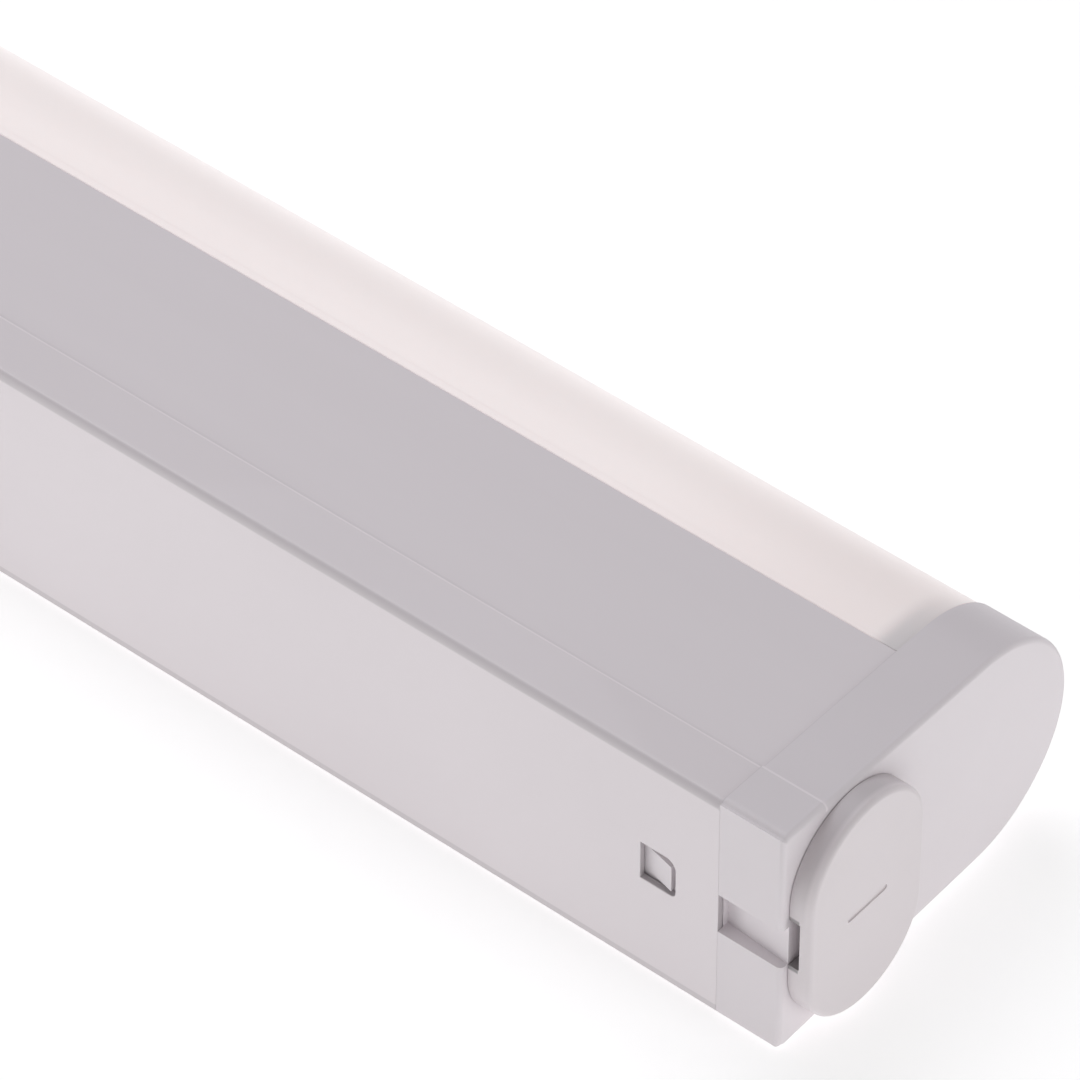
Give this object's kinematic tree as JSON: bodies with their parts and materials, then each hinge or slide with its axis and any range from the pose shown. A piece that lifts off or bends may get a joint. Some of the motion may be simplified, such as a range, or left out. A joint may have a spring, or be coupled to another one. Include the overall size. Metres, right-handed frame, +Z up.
{
  "type": "linkable linear wall light",
  "caption": "Slim linear LED wall light with a flat steel back, an opal round nose, clip-fit end caps and a pull-off blanking cover over its linking socket.",
  "frame": {"origin": "centre of the flat mounting face", "axes": "+X along the bar towards the inlet end, +Y out of the mounting face towards the wall, +Z up the wall, so the nose faces -Y"},
  "size_m": [0.3152, 0.0369, 0.0244],
  "materials": {
    "painted_channel": "white powder coat, satin",
    "white_housing": "white extruded polycarbonate, satin",
    "opal_diffuser": "opal polycarbonate, satin",
    "white_cap": "white moulded plastic, fine satin",
    "white_cover": "white moulded plastic, fine satin",
    "dark_insulator": "dark moulded insulator",
    "contact_metal": "plated contact metal",
    "tray_plastic": "natural moulded plastic",
    "circuit_board": "green solder mask",
    "white_board": "white solder mask on aluminium",
    "led_body": "phosphor-filled LED package",
    "zinc_screw": "zinc-plated steel",
    "green_block": "green terminal plastic",
    "brown_block": "brown moulded fuse body",
    "yellow_block": "yellow film capacitor case",
    "black_chip": "black moulded package",
    "capacitor_sleeve": "dark shrink sleeve",
    "ferrite": "sintered ferrite",
    "copper_winding": "enamelled copper wire",
    "live_insulation": "brown wire insulation",
    "neutral_insulation": "blue wire insulation",
    "earth_insulation": "green and yellow wire insulation",
    "red_insulation": "red wire insulation",
    "black_insulation": "black wire insulation"
  },
  "bodies": {
    "fixture": {"base_channel": "painted_channel", "lamp_body": "white_housing", "diffuser": "opal_diffuser", "end_cap_outlet": "white_cap", "end_cap_inlet": "white_cap", "outlet_socket": "dark_insulator", "inlet_pin_block": "dark_insulator", "outlet_contacts": "contact_metal", "inlet_pins": "contact_metal", "driver_tray": "tray_plastic", "driver_board": "circuit_board", "board_screws": "zinc_screw", "mains_terminal": "green_block", "terminal_screws": "zinc_screw", "led_header": "white_cap", "fuse": "brown_block", "suppression_capacitor": "yellow_block", "bridge_rectifier": "black_chip", "driver_chip": "black_chip", "output_diode": "black_chip", "bulk_capacitor": "capacitor_sleeve", "output_capacitor": "capacitor_sleeve", "choke_core": "ferrite", "choke_winding": "copper_winding", "led_board": "white_board", "led_packages": "led_body", "led_connector": "white_cap", "earth_nut": "zinc_screw", "earth_tags": "contact_metal", "earth_washer": "zinc_screw", "earth_screw": "zinc_screw", "live_supply_wire": "live_insulation", "live_link_wire": "live_insulation", "neutral_supply_wire": "neutral_insulation", "neutral_link_wire": "neutral_insulation", "earth_supply_wire": "earth_insulation", "earth_link_wire": "earth_insulation", "led_positive_wire": "red_insulation", "led_negative_wire": "black_insulation"},
    "cover": {"blanking_cover": "white_cover"}
  },
  "joints": [
    {"name": "cover_pull", "type": "slide", "parent": "fixture", "child": "cover", "axis": [-1, 0, 0], "range_m": [0, 0.014]}
  ]
}
